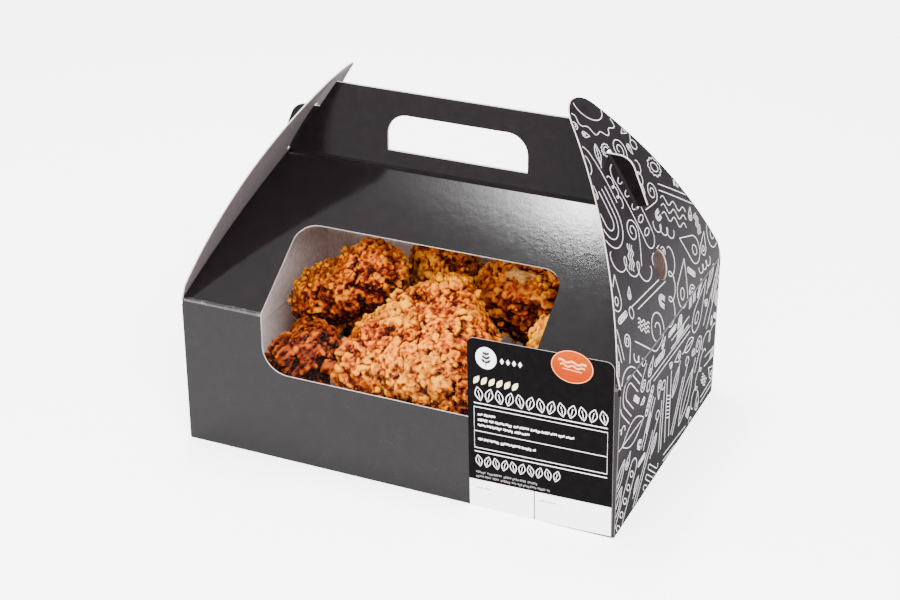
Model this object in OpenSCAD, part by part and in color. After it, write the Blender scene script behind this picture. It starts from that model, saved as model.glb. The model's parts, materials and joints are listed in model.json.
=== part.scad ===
// Gable-top paperboard carry carton for a family portion of fried chicken.
// Origin: centre of the base on the supporting surface. +X along the length, -Y is the window side, +Z up.

/* [Board] */
// Thickness of the folding boxboard
board = 0.6; // [0.45:0.05:0.8]
// Clear gap left at each crease between two panels
crease_gap = 0.4; // [0.3:0.05:0.6]

/* [Body] */
// Outside length
body_l = 235; // [225:1:250]
// Outside depth
body_d = 159; // [152:1:165]
// Height of the walls, up to the crease of the roof
body_h = 81.5; // [78:0.5:86]
// Width of the relief cut at the top corners of the long walls
relief_w = 1; // [1:0.5:3]
// Height of the relief cut at the top corners of the long walls
relief_h = 3; // [3:0.5:8]
// Width of the glued corner flap
glue_flap_w = 12; // [10:1:20]
// Height of the tabs glued up the inside of the end walls
inner_tab_h = 31; // [20:1:36]
// Depth of the two end flaps of the base
base_tuck = 66; // [40:1:75]

/* [Roof and handle] */
// Height of the fold between roof and handle
fold_z = 136.5; // [132:0.5:140]
// Half width of the handle at that fold
fold_half_w = 95.4; // [94:0.1:95.5]
// Height of the handle's top edge
handle_top_z = 178.5; // [172:0.5:180]
// Half width of the handle at its top edge
handle_top_half_w = 66.8; // [60:0.1:66.9]
// Gap between the two handle panels
handle_gap = 0.3; // [0.2:0.05:0.6]
// Width of the hand hole
hole_w = 76.5; // [70:0.5:85]
// Height of the hand hole's lower edge
hole_z0 = 146; // [144:0.5:150]
// Height of the hand hole's upper edge
hole_z1 = 166; // [162:0.5:168]
// Radius of the hand hole's two upper corners
hole_r = 11; // [6:0.5:14]

/* [Locking ears] */
// Radius of the rounded top of an ear
ear_r = 9; // [7:0.5:10]
// Distance of that round's centre from the middle of the carton
ear_x = 85; // [84.5:0.1:85.5]
// Height of that round's centre
ear_z = 154.6; // [154:0.1:156]
// Lean of the ear's outer edge from upright
ear_lean = 22.5; // [20:0.5:26]
// Height at which the ear's outer edge ends
ear_z0 = 139.8; // [139.8:0.1:143]

/* [End gables] */
// Length of the chord from the crease to the tip
gable_l = 121; // [118:1:123]
// Lean of that chord from upright
gable_lean = 28.1; // [27.5:0.1:28.5]
// Radius of the sheet's outward bow
gable_bow_r = 240; // [235:5:250]
// Height of the upright shoulder above the crease
shoulder_r0 = 7.5; // [5:0.5:10]
// Radius of the rounded tip
tip_r = 17; // [12:0.5:18]
// Width of the slit that takes both ears
slit_w = 5.6; // [5.4:0.1:7]
// Distance from the crease to the slit's lower end
slit_r0 = 59.5; // [59:0.1:59.5]
// Distance from the crease to the slit's upper end
slit_r1 = 91.4; // [91:0.2:93]
// Diameter of the steam vent
vent_d = 15; // [12:1:18]
// Distance from the crease to the vent's centre
vent_r = 28.6; // [24:0.1:34]

/* [Window] */
// Half width of the window
window_half_w = 72; // [66:1:76]
// Height of the window's lower edge on the front wall
window_z0 = 49.4; // [46:0.1:56]
// Radius of the window's lower corners
window_r_low = 14; // [8:1:18]
// Distance of the window's upper edge from the crease, up the roof
window_s1 = 55.4; // [48:0.1:60]
// Radius of the window's upper corners
window_r_high = 11; // [8:1:18]
// Thickness of the clear film
film_t = 0.2; // [0.15:0.05:0.3]
// Glued margin of the film round the window
film_margin = 8; // [5:1:10]

/* [Label] */
// Width of the product label
label_w = 74.2; // [60:0.1:75]
// Height of the product label
label_h = 95; // [80:1:98]
// Thickness of the label card
label_t = 0.4; // [0.3:0.05:0.6]
// Distance of the label's centre line from the middle
label_x = 78.2; // [70:0.1:79]
// Tilt of the label as it was stuck on
label_tilt = 1.3; // [0:0.1:2]
// Radius of the label's corners
label_r = 4; // [2:0.5:6]
// Width of the oval sticker
sticker_w = 21; // [16:1:24]
// Height of the oval sticker
sticker_h = 17; // [14:1:20]
// Distance of the sticker's centre from the middle
sticker_x = 93.6; // [88:0.1:98]
// Height of the sticker's centre
sticker_z = 88.7; // [86:0.1:90]
// Thickness of the sticker
sticker_t = 0.2; // [0.15:0.05:0.3]

/* [Hidden] */
$fn = 96;

cut = 20; // how far a cutting shape runs past the sheet it cuts
half_l = body_l / 2;
half_d = body_d / 2;
inner_l = body_l - 2 * board;
inner_d = body_d - 2 * board;
wall_h = body_h - crease_gap;

// The fold between roof and handle lies on the handle's outer face.
handle_face_y = handle_gap / 2 + board;
roof_run = half_d - handle_face_y;
roof_rise = fold_z - body_h;
roof_len = norm([roof_run, roof_rise]);
roof_pitch = atan2(roof_rise, roof_run);

// Inside face of a gable's sheet at a height above the base
bow_back = sqrt(gable_bow_r ^ 2 - (gable_l / 2) ^ 2);
bow_x = half_l - bow_back * cos(gable_lean) - gable_l / 2 * sin(gable_lean);
bow_z = body_h - bow_back * sin(gable_lean) + gable_l / 2 * cos(gable_lean);
function gable_inner_x(z) = bow_x + sqrt((gable_bow_r - board) ^ 2 - (z - bow_z) ^ 2);

// The roof's side edge follows the gable's inside face, from the crease to the fold.
roof_steps = 12;
roof_edge = [for (i = [0:roof_steps])
    let (s = crease_gap + (roof_len - 2 * crease_gap) * i / roof_steps)
    [gable_inner_x(body_h + s * sin(roof_pitch)) - crease_gap, s]];

// The gable's straight edge touches the tip's circle and ends at the shoulder.
tip_c = gable_l - tip_r;
shoulder = [half_d - crease_gap, shoulder_r0];
to_tip = [-shoulder.x, tip_c - shoulder.y];
edge_turn = atan2(to_tip.y, to_tip.x) - asin(tip_r / norm(to_tip));
tip_touch = [tip_r * cos(edge_turn - 90), tip_c + tip_r * sin(edge_turn - 90)];

// The handle's right-hand edge from the fold to the top, with its ear: a short foot,
// a straight outer edge and a round top that runs back into the slanted edge
handle_slope = (fold_half_w - handle_top_half_w) / (handle_top_z - fold_z);
function handle_half_w(z) = fold_half_w - (z - fold_z) * handle_slope;
function reversed(list) = [for (i = [len(list) - 1:-1:0]) list[i]];
ear_foot_rise = 1.4;
ear_foot_z = fold_z + ear_foot_rise;
ear_round = [for (a = [ear_lean:(90 - ear_lean) / 9:90]) [ear_x + ear_r * cos(a), ear_z + ear_r * sin(a)]];
ear_top_z = ear_z + ear_r;
handle_edge = concat(
    [[fold_half_w, fold_z + crease_gap], [handle_half_w(ear_foot_z), ear_foot_z],
        [ear_round[0].x + (ear_round[0].y - ear_z0) * tan(ear_lean), ear_z0]],
    ear_round,
    [[handle_half_w(ear_top_z), ear_top_z], [handle_top_half_w, handle_top_z]]);

black_board = [0.10, 0.095, 0.095];
doodle_board = [0.22, 0.21, 0.21];
inner_board = [0.86, 0.80, 0.78];
clear_film = [0.85, 0.92, 0.95, 0.35];
orange = [0.93, 0.36, 0.15];
crust = [0.80, 0.45, 0.16];
dark_crust = [0.62, 0.28, 0.10];

// Food: each lump is [x, y, z, radius], and a piece is the smooth skin round its lumps.
food_fn = 20;
breast_1 = [[-24, -48, 46, 22], [20, -46, 54, 25], [6, -24, 77, 18], [42, -52, 42, 14], [-32, -42, 53, 15]];
breast_2 = [[82, -35, 28, 26], [74, -38, 73, 20]];
thigh_1 = [[-76, -10, 57, 17], [-43, -7, 79, 18], [-83, 16, 42, 14]];
thigh_2 = [[26, 14, 73, 21], [54, 13, 71, 21], [68, 38, 44, 21], [70, 44, 25, 20]];
drumstick_1_meat = [[-22, 29, 69, 21], [-16, 50, 50, 13]];
drumstick_1_bone = [[-16, 50, 50, 9], [-10, 66, 40, 6.5]];
drumstick_2_meat = [[-86, 53, 23, 20], [-52, 47, 19, 14]];
drumstick_2_bone = [[-52, 47, 19, 9], [-14, 40, 14, 7]];
wing_1_upper = [[-73, -52, 22, 19], [-66, -52, 44, 16], [-59.5, -48.5, 49, 12.5]];
wing_1_tip = [[-73, -52, 18, 12], [-84, -20, 16, 10]];
wing_2_upper = [[-6, -38, 13.5, 11.5], [34, -20, 15, 12.5]];
wing_2_tip = [[34, -20, 13, 10], [30, 12, 12, 9]];

// A flat sheet in the X-Z plane whose front face is at y
module sheet_xz(y, t) {
    translate([0, y + t, 0]) rotate([90, 0, 0]) linear_extrude(t) children();
}

// A flat sheet in the Y-Z plane whose left face is at x
module sheet_yz(x, t) {
    translate([x, 0, 0]) rotate([90, 0, 90]) linear_extrude(t) children();
}

// A box between two corners
module slab(low, high) {
    translate(low) cube(high - low);
}

// A rectangle between two corners
module area(low, high) {
    translate(low) square(high - low);
}

// A rectangle with two rounded corners at its upper or its lower edge
module half_rounded(half_w, low, high, r, round_top) {
    centre_z = round_top ? high - r : low + r;
    intersection() {
        area([-half_w, low], [half_w, high]);
        union() {
            area([-half_w, round_top ? low : centre_z], [half_w, round_top ? centre_z : high]);
            area([-half_w + r, low], [half_w - r, high]);
            for (side = [-1, 1]) translate([side * (half_w - r), centre_z]) circle(r);
        }
    }
}

// Places a shape drawn on the roof: 2D x stays x, 2D y runs up the slope from the crease.
module on_front_roof(depth, t) {
    translate([0, -half_d, body_h]) rotate([roof_pitch, 0, 0])
        translate([0, 0, -depth - t]) linear_extrude(t) children();
}

module long_wall_outline() {
    difference() {
        area([-half_l, 0], [half_l, wall_h]);
        for (side = [-1, 1]) translate([side * half_l, wall_h])
            square([2 * relief_w, 2 * relief_h], center = true);
    }
}

module front_wall() {
    color(black_board) sheet_xz(-half_d, board) difference() {
        long_wall_outline();
        half_rounded(window_half_w, window_z0, body_h + cut, window_r_low, false);
    }
}

module back_wall() {
    color(black_board) sheet_xz(half_d - board, board) long_wall_outline();
}

module end_wall() {
    color(doodle_board) sheet_yz(half_l - board, board) area([-inner_d / 2, 0], [inner_d / 2, wall_h]);
}

module end_wall_right() {
    end_wall();
}

module end_wall_left() {
    mirror([1, 0, 0]) end_wall();
}

module glue_flap() {
    left = -inner_l / 2 + board;
    color(inner_board) slab([left, inner_d / 2 - board, 2 * board],
        [left + glue_flap_w, inner_d / 2, wall_h - 2 * board]);
}

module bottom_flap_back() {
    color(inner_board) slab([-inner_l / 2, crease_gap / 2, 0], [inner_l / 2, inner_d / 2, board]);
}

module bottom_flap_front() {
    mirror([0, 1, 0]) bottom_flap_back();
}

module bottom_tuck() {
    taper = 14; // how much narrower the free edge is at each side
    x1 = inner_l / 2 - board;
    color(inner_board) translate([0, 0, board]) linear_extrude(board) polygon([
        [x1, -inner_d / 2], [x1, inner_d / 2],
        [x1 - base_tuck, inner_d / 2 - taper], [x1 - base_tuck, -inner_d / 2 + taper]]);
}

module bottom_flap_right() {
    bottom_tuck();
}

module bottom_flap_left() {
    mirror([1, 0, 0]) bottom_tuck();
}

module inner_tab() {
    half_w = inner_d / 2 - 1.5 * board;
    color(inner_board) sheet_yz(inner_l / 2 - board, board)
        area([-half_w, board], [half_w, inner_tab_h]);
}

module inner_tab_right() {
    inner_tab();
}

module inner_tab_left() {
    mirror([1, 0, 0]) inner_tab();
}

module window_film_lower() {
    half_w = window_half_w + film_margin;
    color(clear_film) sheet_xz(-inner_d / 2, film_t)
        area([-half_w, window_z0 - film_margin], [half_w, wall_h]);
}

module window_film_upper() {
    half_w = window_half_w + film_margin;
    foot = 2 * crease_gap + board;
    color(clear_film) on_front_roof(board, film_t) area([-half_w, foot], [half_w, window_s1 + film_margin]);
}

module label_outline() {
    half_h = label_h / 2;
    half_w = label_w / 2;
    intersection() {
        translate([label_x, half_h - 0.8]) rotate(label_tilt) {
            area([-half_w, -half_h - 4], [half_w, half_h - label_r]);
            area([-half_w + label_r, 0], [half_w - label_r, half_h]);
            for (side = [-1, 1]) translate([side * (half_w - label_r), half_h - label_r]) circle(label_r);
        }
        area([0, 0], [half_l, 2 * label_h]);
    }
}

module product_label() {
    color(black_board) sheet_xz(-half_d - label_t, label_t) label_outline();
}

module oval_sticker() {
    color(orange) sheet_xz(-half_d - label_t - sticker_t, sticker_t)
        translate([sticker_x, sticker_z]) scale([1, sticker_h / sticker_w]) circle(d = sticker_w);
}

module roof_outline() {
    polygon([for (side = [1, -1], p = side > 0 ? roof_edge : reversed(roof_edge)) [side * p.x, p.y]]);
}

module roof_front() {
    color(black_board) on_front_roof(0, board) difference() {
        roof_outline();
        half_rounded(window_half_w, -cut, window_s1, window_r_high, true);
    }
}

module roof_back() {
    color(black_board) mirror([0, 1, 0]) on_front_roof(0, board) roof_outline();
}

module handle_outline() {
    difference() {
        polygon([for (side = [1, -1], p = side > 0 ? handle_edge : reversed(handle_edge)) [side * p.x, p.y]]);
        half_rounded(hole_w / 2, hole_z0, hole_z1, hole_r, true);
    }
}

module handle_front() {
    color(black_board) sheet_xz(-handle_face_y, board) handle_outline();
}

module handle_back() {
    color(black_board) sheet_xz(handle_gap / 2, board) handle_outline();
}

// Outline of a gable: across, and up from the crease
module gable_outline() {
    translate([0, tip_c]) circle(tip_r);
    polygon([[-shoulder.x, crease_gap], [shoulder.x, crease_gap], shoulder, tip_touch,
        [-tip_touch.x, tip_touch.y], [-shoulder.x, shoulder.y]]);
}

// A bowed sheet standing on the right-hand crease, drawn upright and then leant inward
module gable() {
    color(doodle_board) translate([half_l, 0, body_h]) rotate([0, -gable_lean, 0]) difference() {
        intersection() {
            translate([-cut, 0, 0]) rotate([90, 0, 90]) linear_extrude(2 * cut) gable_outline();
            translate([-bow_back, 0, gable_l / 2]) rotate([90, 0, 0]) difference() {
                cylinder(h = body_d, r = gable_bow_r, center = true);
                cylinder(h = body_d + cut, r = gable_bow_r - board, center = true);
            }
        }
        slab([-cut, -slit_w / 2, slit_r0], [cut, slit_w / 2, slit_r1]);
        translate([-cut, 0, vent_r]) rotate([0, 90, 0]) cylinder(h = 2 * cut, d = vent_d);
    }
}

module gable_right() {
    gable();
}

module gable_left() {
    mirror([1, 0, 0]) gable();
}

// The smooth skin round a list of lumps
module flesh(lumps) {
    hull() for (l = lumps) translate([l.x, l.y, l.z]) sphere(l[3], $fn = food_fn);
}

module chicken_breast_1() {
    color(crust) flesh(breast_1);
}

module chicken_breast_2() {
    color(crust) flesh(breast_2);
}

module chicken_thigh_1() {
    color(dark_crust) flesh(thigh_1);
}

module chicken_thigh_2() {
    color(dark_crust) flesh(thigh_2);
}

module chicken_drumstick_1() {
    color(dark_crust) union() {
        flesh(drumstick_1_meat);
        flesh(drumstick_1_bone);
    }
}

module chicken_drumstick_2() {
    color(crust) union() {
        flesh(drumstick_2_meat);
        flesh(drumstick_2_bone);
    }
}

module chicken_wing_1() {
    color(dark_crust) union() {
        flesh(wing_1_upper);
        flesh(wing_1_tip);
    }
}

module chicken_wing_2() {
    color(crust) union() {
        flesh(wing_2_upper);
        flesh(wing_2_tip);
    }
}

front_wall();
back_wall();
end_wall_left();
end_wall_right();
glue_flap();
bottom_flap_front();
bottom_flap_back();
bottom_flap_left();
bottom_flap_right();
inner_tab_left();
inner_tab_right();
window_film_lower();
product_label();
oval_sticker();
roof_front();
window_film_upper();
handle_front();
roof_back();
handle_back();
gable_left();
gable_right();
chicken_breast_1();
chicken_breast_2();
chicken_thigh_1();
chicken_thigh_2();
chicken_drumstick_1();
chicken_drumstick_2();
chicken_wing_1();
chicken_wing_2();
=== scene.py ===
import json
import math
import random

import bmesh
import bpy
import numpy as np
from mathutils import Matrix, Vector, noise


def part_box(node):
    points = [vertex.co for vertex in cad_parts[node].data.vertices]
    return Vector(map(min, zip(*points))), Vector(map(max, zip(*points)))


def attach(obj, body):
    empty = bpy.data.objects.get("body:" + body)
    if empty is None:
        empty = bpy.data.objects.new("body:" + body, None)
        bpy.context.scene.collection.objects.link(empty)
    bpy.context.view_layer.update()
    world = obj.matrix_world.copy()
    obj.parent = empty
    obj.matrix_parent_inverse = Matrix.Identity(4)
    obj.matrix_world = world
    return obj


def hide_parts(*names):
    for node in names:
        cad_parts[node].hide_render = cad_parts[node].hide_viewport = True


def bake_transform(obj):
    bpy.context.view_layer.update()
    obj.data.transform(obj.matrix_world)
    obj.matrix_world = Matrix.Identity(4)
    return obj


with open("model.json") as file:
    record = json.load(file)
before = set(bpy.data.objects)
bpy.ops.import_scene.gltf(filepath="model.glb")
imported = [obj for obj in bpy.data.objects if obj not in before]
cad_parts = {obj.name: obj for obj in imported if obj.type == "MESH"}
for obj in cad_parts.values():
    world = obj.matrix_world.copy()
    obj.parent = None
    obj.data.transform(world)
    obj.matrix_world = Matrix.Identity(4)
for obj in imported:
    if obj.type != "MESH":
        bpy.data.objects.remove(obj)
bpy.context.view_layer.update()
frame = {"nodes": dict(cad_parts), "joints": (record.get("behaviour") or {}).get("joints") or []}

MM = 0.001
NODES = frame["nodes"]


# ---- frame
# The hinge lines and the board's thickness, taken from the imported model.
HINGE = {j["name"]: Vector(j["pos_m"]) for j in frame["joints"]}
CREASE = HINGE["gable_right_fold"].z
HALF_L = HINGE["gable_right_fold"].x
HALF_D = HINGE["roof_back_fold"].y
FOLD = HINGE["handle_front_fold"]
ROOF_PITCH = math.atan2(FOLD.z - CREASE, HALF_D + FOLD.y)
BOARD = HALF_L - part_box("end_wall_right")[0].x
RIGHT = Vector((1, 0, 0))
FRONT = Vector((0, -1, 0))
UP = Vector((0, 0, 1))
FRONT_SLOPE = Vector((0, math.cos(ROOF_PITCH), math.sin(ROOF_PITCH)))
FRONT_NORMAL = Vector((0, -math.sin(ROOF_PITCH), math.cos(ROOF_PITCH)))
FRONT_CREASE = Vector((0, -HALF_D, CREASE))
# Factors that leave a point or direction alone, take it from right to left, or from front to back.
SAME = Vector((1, 1, 1))
MIRROR = Vector((-1, 1, 1))
TO_BACK = Vector((1, -1, 1))

# The bowed gable sheet, as the model has it: a lean, a chord and the radius of its bow.
GABLE_LEAN = math.radians(28.1)
GABLE_CHORD = 121 * MM
GABLE_BOW_R = 240 * MM
GABLE_BACK = math.sqrt(GABLE_BOW_R ** 2 - (GABLE_CHORD / 2) ** 2)
GABLE_NORMAL = Vector((math.cos(GABLE_LEAN), 0, math.sin(GABLE_LEAN)))
GABLE_TIP_R = 17 * MM
SHOULDER = 7.5 * MM
SLIT = 5.6 * MM, 59.5 * MM, 91.4 * MM
VENT = 15 * MM, 28.6 * MM

# Half the length of the fold between roof and handle.
FOLD_HALF_W = 95.4 * MM

# Half the width of the window's cut.
WINDOW_HALF_W = 72 * MM


# ---- small tools
def add_object(name, data):
    obj = bpy.data.objects.new(name, data)
    bpy.context.scene.collection.objects.link(obj)
    return obj


def set_smooth(mesh, smooth):
    for poly in mesh.polygons:
        poly.use_smooth = smooth


def finish_mesh(name, bm, smooth=True):
    """Turns a bmesh into a linked object."""
    bmesh.ops.recalc_face_normals(bm, faces=bm.faces)
    mesh = bpy.data.meshes.new(name)
    bm.to_mesh(mesh)
    bm.free()
    set_smooth(mesh, smooth)
    return add_object(name, mesh)


def paint(obj, material):
    obj.data.materials.clear()
    obj.data.materials.append(material)


def shell(bm, outer, inner):
    """Closed sheet from two grids of points, rows by columns."""
    grids = [[[bm.verts.new(p) for p in row] for row in grid] for grid in (outer, inner)]
    rows, columns = len(outer), len(outer[0])
    for grid in grids:
        for i in range(rows - 1):
            for j in range(columns - 1):
                bm.faces.new((grid[i][j], grid[i][j + 1], grid[i + 1][j + 1], grid[i + 1][j]))
    rim = [(0, j) for j in range(columns)] + [(i, columns - 1) for i in range(1, rows)]
    rim += [(rows - 1, j) for j in range(columns - 2, -1, -1)] + [(i, 0) for i in range(rows - 2, 0, -1)]
    top, bottom = grids
    for (i, j), (k, m) in zip(rim, rim[1:] + rim[:1]):
        bm.faces.new((top[i][j], top[k][m], bottom[k][m], bottom[i][j]))


def plate(bm, outline, place, low, high):
    """Closed flat plate: an outline of (u, v) points, set on a surface between two heights."""
    bottom, top = ([bm.verts.new(place(u, v, lift)) for u, v in outline] for lift in (low, high))
    bm.faces.new(top)
    bm.faces.new(list(reversed(bottom)))
    for side in zip(bottom, bottom[1:] + bottom[:1], top[1:] + top[:1], top):
        bm.faces.new(side)


def ribbon(bm, stroke, place, width, low, high, closed=False):
    """Closed printed line along (u, v) points, set on a surface between two heights."""
    count = len(stroke)
    rings = []
    for i, (u, v) in enumerate(stroke):
        before = stroke[i - 1] if i > 0 or closed else stroke[i]
        after = stroke[(i + 1) % count] if i < count - 1 or closed else stroke[i]
        du, dv = after[0] - before[0], after[1] - before[1]
        size = math.hypot(du, dv) or 1.0
        nu, nv = -dv / size * width / 2, du / size * width / 2
        left, right = (u + nu, v + nv), (u - nu, v - nv)
        corners = ((*left, low), (*right, low), (*right, high), (*left, high))
        rings.append([bm.verts.new(place(*corner)) for corner in corners])
    pairs = list(zip(rings, rings[1:]))
    if closed:
        pairs.append((rings[-1], rings[0]))
    else:
        bm.faces.new(rings[0])
        bm.faces.new(list(reversed(rings[-1])))
    for a, b in pairs:
        for k in range(4):
            m = (k + 1) % 4
            bm.faces.new((a[k], a[m], b[m], b[k]))


class Shader:
    """A short way to write a node material."""

    def __init__(self, name):
        self.mat = bpy.data.materials.new(name)
        self.mat.use_nodes = True
        self.tree = self.mat.node_tree
        self.tree.nodes.clear()
        self.out = self.node("ShaderNodeOutputMaterial")
        self.bsdf = self.node("ShaderNodeBsdfPrincipled")
        self.link(self.bsdf.outputs[0], self.out.inputs[0])
        self.coord = self.node("ShaderNodeTexCoord")

    def node(self, kind, **settings):
        made = self.tree.nodes.new(kind)
        for key, value in settings.items():
            if key in made.inputs:
                made.inputs[key].default_value = value
            else:
                setattr(made, key, value)
        return made

    def link(self, source, target):
        self.tree.links.new(source, target)

    def feed(self, socket, value):
        """Links a socket, or sets its constant."""
        if isinstance(value, bpy.types.NodeSocket):
            self.link(value, socket)
        else:
            socket.default_value = value

    def place(self):
        """The point in the object's own coordinates, as x, y and z."""
        split = self.node("ShaderNodeSeparateXYZ")
        self.link(self.coord.outputs["Object"], split.inputs[0])
        return list(split.outputs)

    def surface(self, colour, rough, gloss):
        """Sets the surface's colour, roughness and reflectivity."""
        self.feed(self.bsdf.inputs["Base Color"], colour)
        self.feed(self.bsdf.inputs["Roughness"], rough)
        self.bsdf.inputs["Specular IOR Level"].default_value = gloss

    def times(self, a, b):
        return self.math("MULTIPLY", a, b)

    def math(self, operation, a, b=0.0, clamp=False):
        made = self.node("ShaderNodeMath", operation=operation, use_clamp=clamp)
        self.feed(made.inputs[0], a)
        self.feed(made.inputs[1], b)
        return made.outputs[0]

    def noise(self, scale, detail=4.0, rough=0.55, distort=0.0, stretch=(1, 1, 1)):
        """Noise in the object's own coordinates; scale is in cycles per metre."""
        grid = self.node("ShaderNodeMapping", Scale=stretch)
        self.link(self.coord.outputs["Object"], grid.inputs["Vector"])
        settings = dict(Scale=scale, Detail=detail, Roughness=rough, Distortion=distort)
        made = self.node("ShaderNodeTexNoise", **settings)
        self.link(grid.outputs[0], made.inputs["Vector"])
        return made.outputs["Fac"]

    def ramp(self, value, *stops):
        """Colour ramp; each stop is (position, (r, g, b))."""
        made = self.node("ShaderNodeValToRGB")
        ramp = made.color_ramp
        while len(ramp.elements) < len(stops):
            ramp.elements.new(0.5)
        for element, (at, colour) in zip(ramp.elements, stops):
            element.position = at
            element.color = (*colour, 1.0)
        self.feed(made.inputs[0], value)
        return made.outputs[0]

    def map_range(self, value, side, low, high, **settings):
        made = self.node("ShaderNodeMapRange", **settings)
        self.feed(made.inputs["Value"], value)
        made.inputs[side + " Min"].default_value = low
        made.inputs[side + " Max"].default_value = high
        return made.outputs["Result"]

    def step(self, value, low, high):
        """Smooth step from 0 at low to 1 at high."""
        return self.map_range(value, "From", low, high, interpolation_type="SMOOTHSTEP")

    def span(self, value, low, high):
        """Maps 0..1 to low..high."""
        return self.map_range(value, "To", low, high)

    def mix(self, share, a, b):
        made = self.node("ShaderNodeMix", data_type="RGBA")
        self.feed(made.inputs["Factor"], share)
        sockets = [s for s in made.inputs if s.type == "RGBA"]
        for socket, colour in zip(sockets, (a, b)):
            self.feed(socket, (*colour, 1.0) if isinstance(colour, tuple) else colour)
        return next(s for s in made.outputs if s.type == "RGBA")

    def dot(self, vector, direction):
        made = self.node("ShaderNodeVectorMath", operation="DOT_PRODUCT")
        self.link(vector, made.inputs[0])
        made.inputs[1].default_value = direction
        return made.outputs["Value"]

    def bump(self, height, strength, distance):
        made = self.node("ShaderNodeBump", Strength=strength, Distance=distance)
        self.link(height, made.inputs["Height"])
        self.link(made.outputs[0], self.bsdf.inputs["Normal"])


# ---- camera
def look(azimuth, elevation, spot):
    """Camera axes for a view from that azimuth (0 looks along +Y) and elevation."""
    a, e = math.radians(azimuth), math.radians(elevation)
    back = Vector((math.sin(a) * math.cos(e), -math.cos(a) * math.cos(e), math.sin(e)))
    right = Vector((math.cos(a), math.sin(a), 0))
    up = back.cross(right)
    turn = Matrix((right, up, back)).transposed().to_4x4()
    return Matrix.Translation(spot) @ turn


camera_data = bpy.data.cameras.new("camera")
camera_data.lens = 77.2
camera_data.sensor_width = 36
camera_data.clip_end = 20
camera = add_object("camera", camera_data)
camera.matrix_world = look(23.96, 26.65, Vector((0.3614, -0.8224, 0.5186)))
bpy.context.scene.camera = camera


# ---- studio
def softbox(name, place, target, width, height, power):
    lamp = bpy.data.lights.new(name, "AREA")
    lamp.shape = "RECTANGLE"
    lamp.size = width
    lamp.size_y = height
    lamp.energy = power
    direction = Vector(target) - Vector(place)
    turn = direction.to_track_quat("-Z", "Y").to_matrix().to_4x4()
    add_object(name, lamp).matrix_world = Matrix.Translation(place) @ turn


LAMP_EDGE = -0.245
LAMP_FULL = 0.055
LAMP_REST = 0.12
LAMP_STRIP = 0.022
LAMP_FADE = 0.58
LAMP_GLOW = 330.0
LAMP_FRONT = -0.104
LAMP_DEEP = 0.50
LAMP_HEIGHT = 1.05
TENT_WALLS = 2.4
TENT_CEILING = 1.1
SWEEP_GLOW = 3.0
SWEEP_HALF = 3.0


def studio():
    """White sweep in a light tent: a bright floor and walls, a dimmer ceiling, and soft boxes.

    The overhead light is bright over part of the roof and fades to the left in narrow strips.
    """
    world = bpy.data.worlds.new("studio")
    bpy.context.scene.world = world
    world.use_nodes = True
    tree = world.node_tree
    background = tree.nodes["Background"]
    coord = tree.nodes.new("ShaderNodeTexCoord")
    split = tree.nodes.new("ShaderNodeSeparateXYZ")
    tree.links.new(coord.outputs["Generated"], split.inputs[0])
    height = tree.nodes.new("ShaderNodeMapRange")
    height.interpolation_type = "SMOOTHSTEP"
    ends = {"From Min": 0.25, "From Max": 0.85, "To Min": TENT_WALLS, "To Max": TENT_CEILING}
    for end, value in ends.items():
        height.inputs[end].default_value = value
    tree.links.new(split.outputs["Z"], height.inputs["Value"])
    tree.links.new(height.outputs[0], background.inputs[1])
    background.inputs[0].default_value = (1.0, 0.985, 1.0, 1.0)

    full_end = LAMP_EDGE + LAMP_FULL
    strips = [(LAMP_EDGE, full_end, LAMP_GLOW), (full_end, 0.16, LAMP_REST * LAMP_GLOW)]
    for k in range(10):
        right = LAMP_EDGE - k * LAMP_STRIP
        strips.append((right - LAMP_STRIP, right, LAMP_GLOW * LAMP_FADE ** (k + 1)))
    for k, (left, right, glow) in enumerate(strips):
        middle, wide, back = (left + right) / 2, right - left, LAMP_FRONT + LAMP_DEEP / 2
        softbox("overhead_%d" % k, (middle, back, LAMP_HEIGHT), (middle, back, 0.0),
                wide, LAMP_DEEP, glow * wide * LAMP_DEEP)
    softbox("key_front", (0.75, -0.85, 0.95), (0, 0, 0.08), 0.6, 0.6, 33.0)
    softbox("fill_front", (-0.15, -1.15, 0.62), (0, 0, 0.10), 0.7, 0.4, 12.0)

    bm = bmesh.new()
    bmesh.ops.create_grid(bm, x_segments=2, y_segments=2, size=SWEEP_HALF)
    floor = finish_mesh("floor", bm, smooth=False)
    shader = Shader("studio_floor")
    white = shader.ramp(shader.noise(3.0), (0.0, (0.93, 0.93, 0.93)), (1.0, (0.97, 0.97, 0.97)))
    shader.surface(white, 0.9, 0.1)
    shader.bsdf.inputs["Emission Color"].default_value = (1.0, 1.0, 1.0, 1.0)
    shader.bsdf.inputs["Emission Strength"].default_value = SWEEP_GLOW
    shader.mat.cycles.emission_sampling = "NONE"
    paint(floor, shader.mat)


studio()


# ---- board
CORE = (0.55, 0.49, 0.47)
BLACK = (0.0042, 0.0031, 0.0036)
PRINT = (0.0080, 0.0064, 0.0077)
WALL_PRINT = (0.0130, 0.0105, 0.0125)
LINER = (0.90, 0.78, 0.735)
# The same liner painted much darker for the gables' inner faces: painted shade.
PAINTED_SHADE_LINER = (0.085, 0.070, 0.073)


def shades(colour, *stops):
    """Ramp stops of one colour; each is (position, share of the colour)."""
    return [(at, tuple(c * share for c in colour)) for at, share in stops]


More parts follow.
